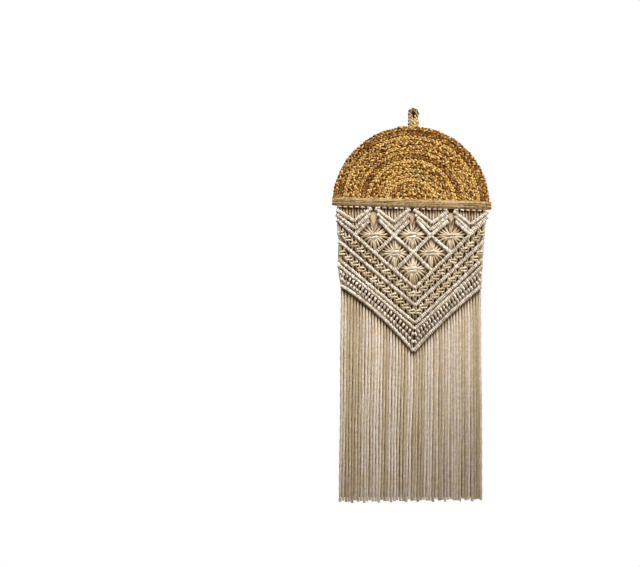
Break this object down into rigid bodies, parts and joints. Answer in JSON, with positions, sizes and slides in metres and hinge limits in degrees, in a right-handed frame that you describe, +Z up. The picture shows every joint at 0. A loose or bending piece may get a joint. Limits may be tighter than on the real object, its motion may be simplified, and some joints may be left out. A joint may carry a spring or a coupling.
{
  "type": "macrame wall hanging",
  "caption": "Macrame wall hanging: a jute half disc with a hanging loop, and knotted cotton cord in stacked V bars and sunburst diamonds over a long straight fringe.",
  "frame": {"origin": "where a nail bears: the top of the eye in the hanging loop, in the middle of the braid's thickness", "axes": "+X to the right as the hanging is seen, +Z up, -Y towards the viewer, +Y towards the wall"},
  "size_m": [0.3008, 0.0105, 0.7454],
  "materials": {
    "jute_braid": "golden brown plaited jute, fibrous, matt",
    "jute_strip": "combed beige jute with a lengthwise grain, matt",
    "cotton_cord": "cream twisted cotton cord, matt",
    "fringe_cord": "the same cotton cord hanging free, warmer beige, matt"
  },
  "bodies": {
    "root": {"hanging_loop": "jute_braid", "jute_half_disc": "jute_braid", "binding_band": "jute_strip", "macrame_panel": "cotton_cord", "cord_fringe": "fringe_cord"}
  },
  "joints": []
}
